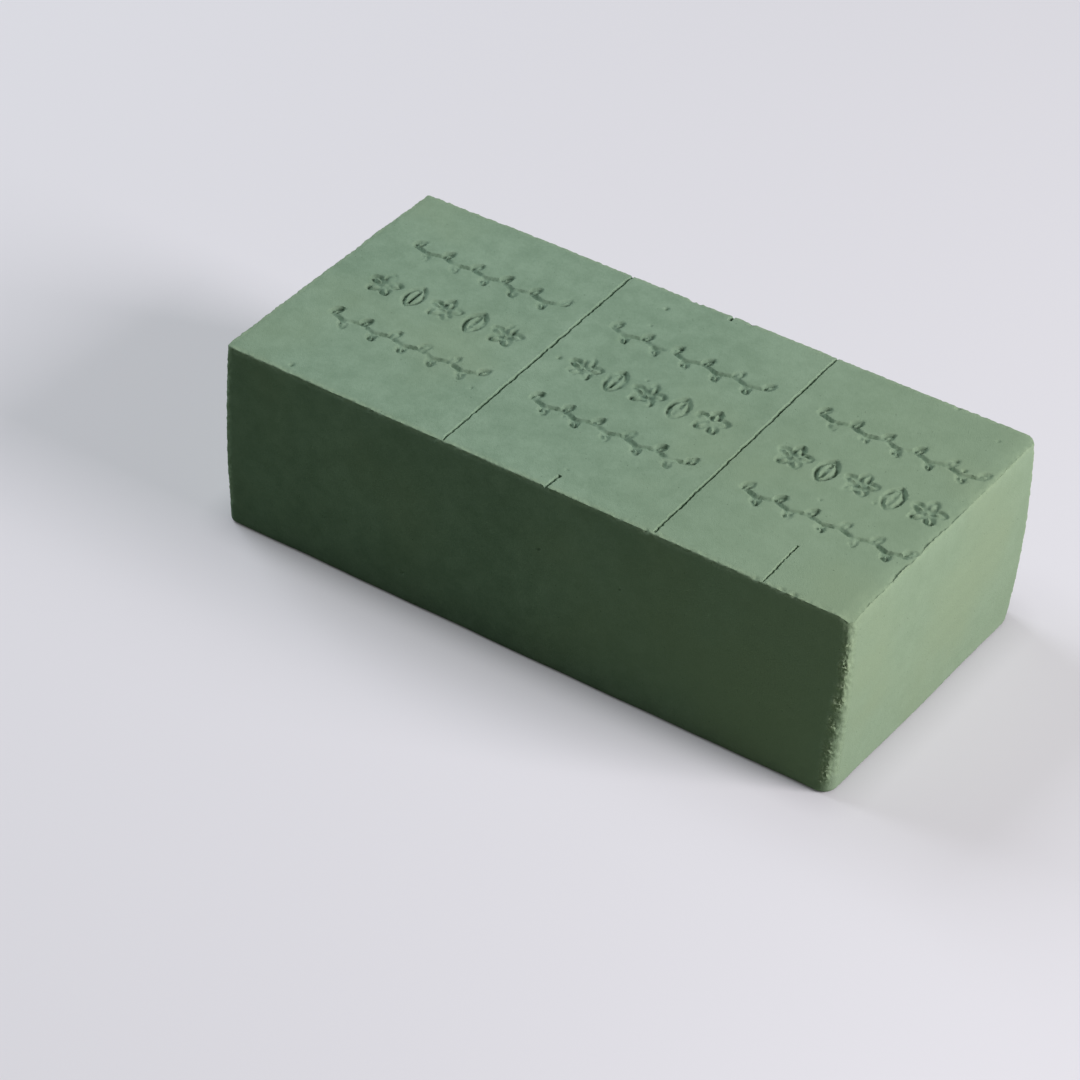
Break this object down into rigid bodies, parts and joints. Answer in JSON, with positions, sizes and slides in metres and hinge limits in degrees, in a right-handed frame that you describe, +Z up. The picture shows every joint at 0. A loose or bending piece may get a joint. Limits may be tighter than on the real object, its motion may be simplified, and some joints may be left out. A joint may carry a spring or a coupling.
{
  "type": "floral foam brick",
  "caption": "Rectangular brick of dry green floral foam, its top scored across into sections and pressed with a leaf and flower pattern, with sections that part along the score lines.",
  "frame": {"origin": "middle of the underside, half way along the brick and half way across it", "axes": "+X along the brick's length towards its rounder end, +Y across its width, +Z up through the scored and pressed top"},
  "size_m": [0.2322, 0.1106, 0.07],
  "materials": {
    "foam": "dry open-cell phenolic foam, dead matt, crumbly at the edges"
  },
  "bodies": {
    "middle": {"middle_section": "foam"},
    "left": {"left_section": "foam"},
    "right": {"right_section": "foam"}
  },
  "joints": [
    {"name": "left_break", "type": "slide", "parent": "middle", "child": "left", "axis": [-1, 0, 0], "range_m": [0, 0.08]},
    {"name": "right_break", "type": "slide", "parent": "middle", "child": "right", "axis": [1, 0, 0], "range_m": [0, 0.08]}
  ]
}
